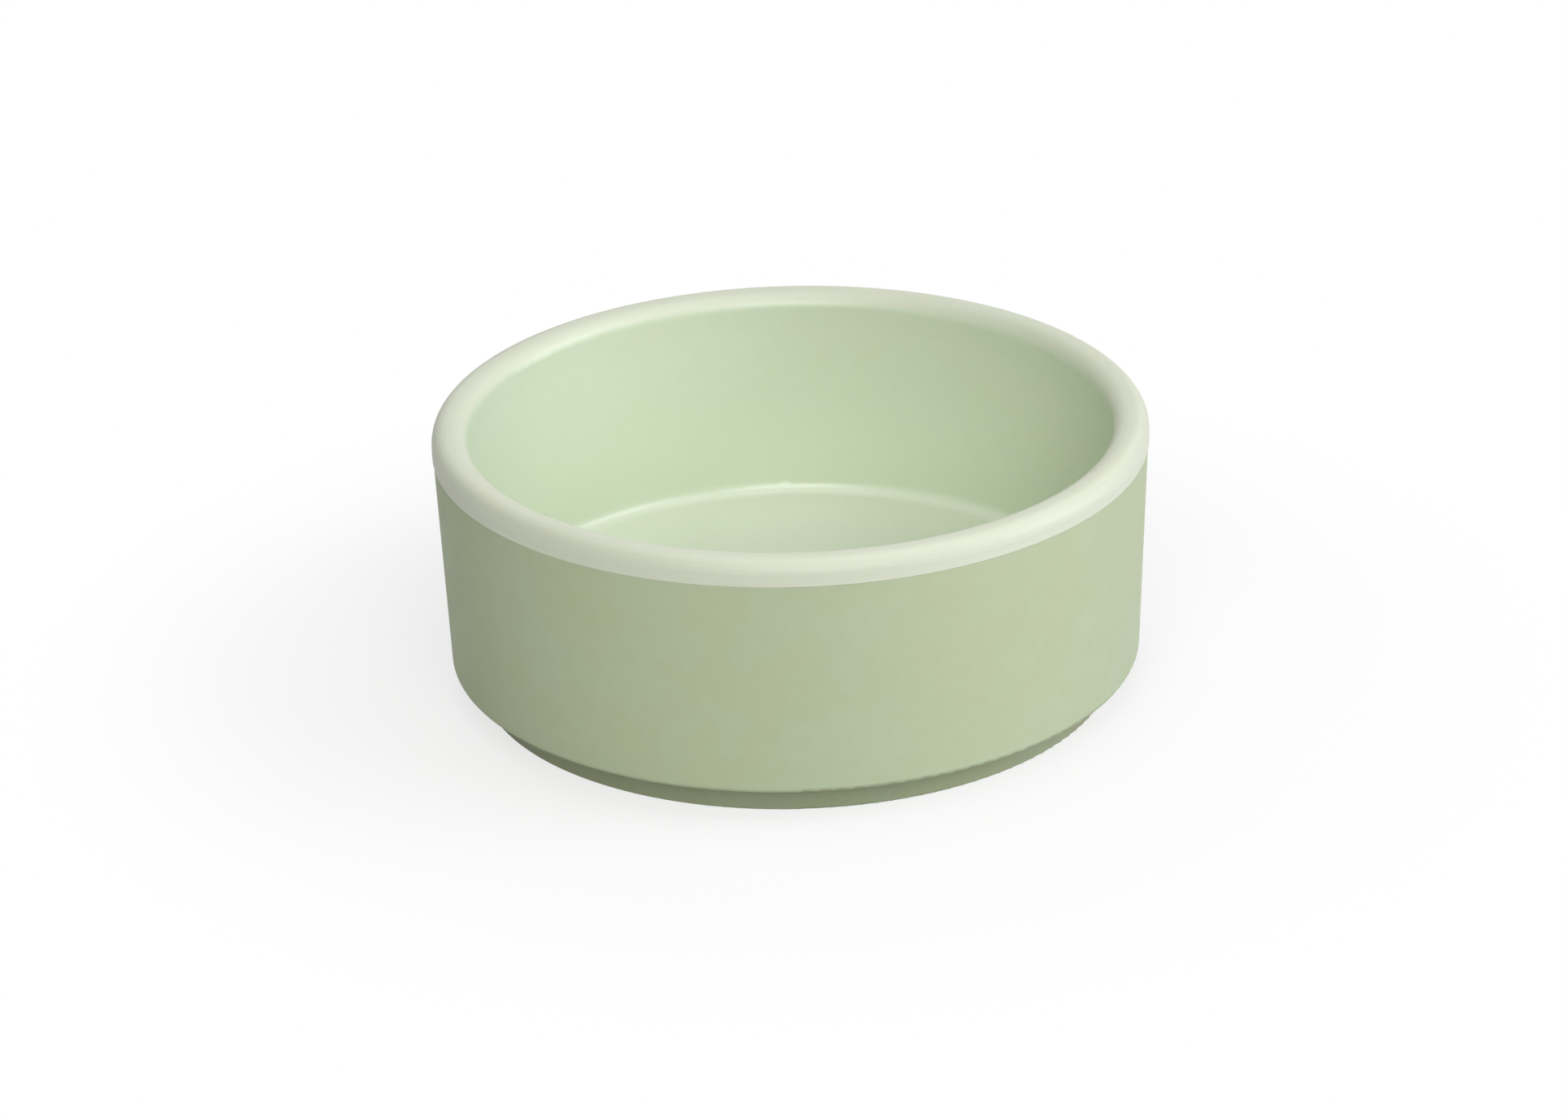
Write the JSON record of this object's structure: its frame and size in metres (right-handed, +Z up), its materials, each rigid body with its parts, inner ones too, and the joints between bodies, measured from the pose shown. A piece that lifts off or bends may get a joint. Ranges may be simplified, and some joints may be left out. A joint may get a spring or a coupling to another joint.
{
  "type": "mixing bowl",
  "caption": "Low round mixing bowl with hollow walls, a soft rounded rim band, a sage outer shell and an inset foot ring that stacks into another bowl's mouth.",
  "frame": {"origin": "centre of the face that the bowl stands on", "axes": "+Z up along the bowl's axis, out of its mouth; the bowl is round, so X and Y are any two level directions"},
  "size_m": [0.14, 0.14, 0.055],
  "materials": {
    "mint_plastic": "pale mint green, satin inside, fine turned streaks on the rim band",
    "sage_plastic": "sage green, fine satin",
    "foot_rubber": "sage green, matte"
  },
  "bodies": {
    "root": {"inner_bowl": "mint_plastic", "outer_shell": "sage_plastic", "foot_ring": "foot_rubber"}
  },
  "joints": []
}
